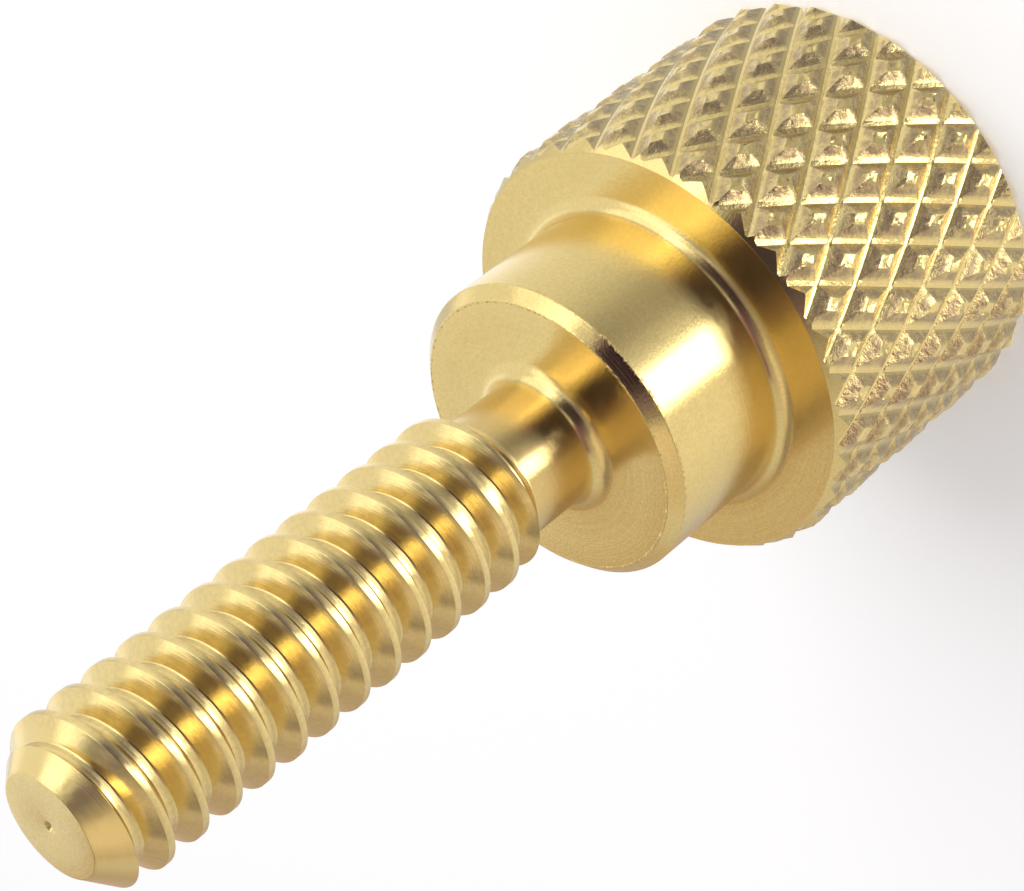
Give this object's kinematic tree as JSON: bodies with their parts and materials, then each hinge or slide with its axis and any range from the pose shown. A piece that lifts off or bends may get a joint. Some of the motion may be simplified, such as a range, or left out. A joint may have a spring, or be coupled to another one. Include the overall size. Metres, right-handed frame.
{
  "type": "thumb screw",
  "caption": "Brass thumb screw with a diamond-knurled round head, a smooth collar, a relieved neck and a fine machine thread.",
  "frame": {"origin": "centre of the flat end of the knurled head, which the screw stands on", "axes": "+Z along the screw's axis from the head to the tip of the thread; X and Y are across it"},
  "size_m": [0.0092, 0.0092, 0.0222],
  "materials": {
    "brass": "bright turned, with fine circular tool lines and a satin grain on the faces"
  },
  "bodies": {
    "root": {"thumb_screw": "brass"}
  },
  "joints": []
}
